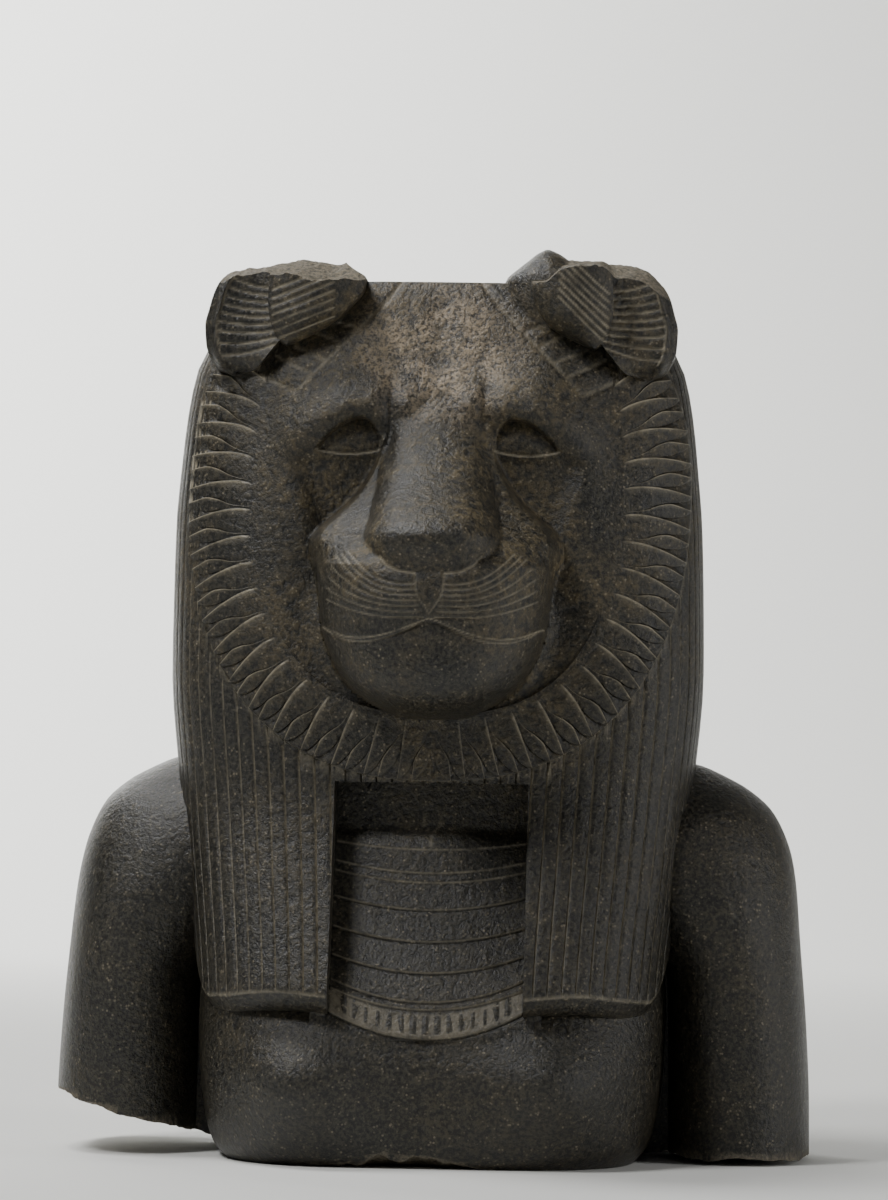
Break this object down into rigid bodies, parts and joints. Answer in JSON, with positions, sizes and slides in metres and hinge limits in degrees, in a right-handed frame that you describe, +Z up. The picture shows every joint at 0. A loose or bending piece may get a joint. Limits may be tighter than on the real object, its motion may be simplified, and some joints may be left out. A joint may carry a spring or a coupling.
{
  "type": "stone bust",
  "caption": "Stone bust of a lioness-headed figure with a ruff of mane locks, a fluted wig in two lappets, a broad collar and broken arms, standing on its flat underside.",
  "frame": {"origin": "centre of the bounding box, at the height of the flat underside", "axes": "+Z up, the face looks along -Y, +X is on the viewer's right when facing the statue"},
  "size_m": [0.5186, 0.398, 0.6205],
  "materials": {
    "stone": "dark speckled granodiorite, polished, with rough breaks"
  },
  "bodies": {
    "root": {"bust": "stone"}
  },
  "joints": []
}
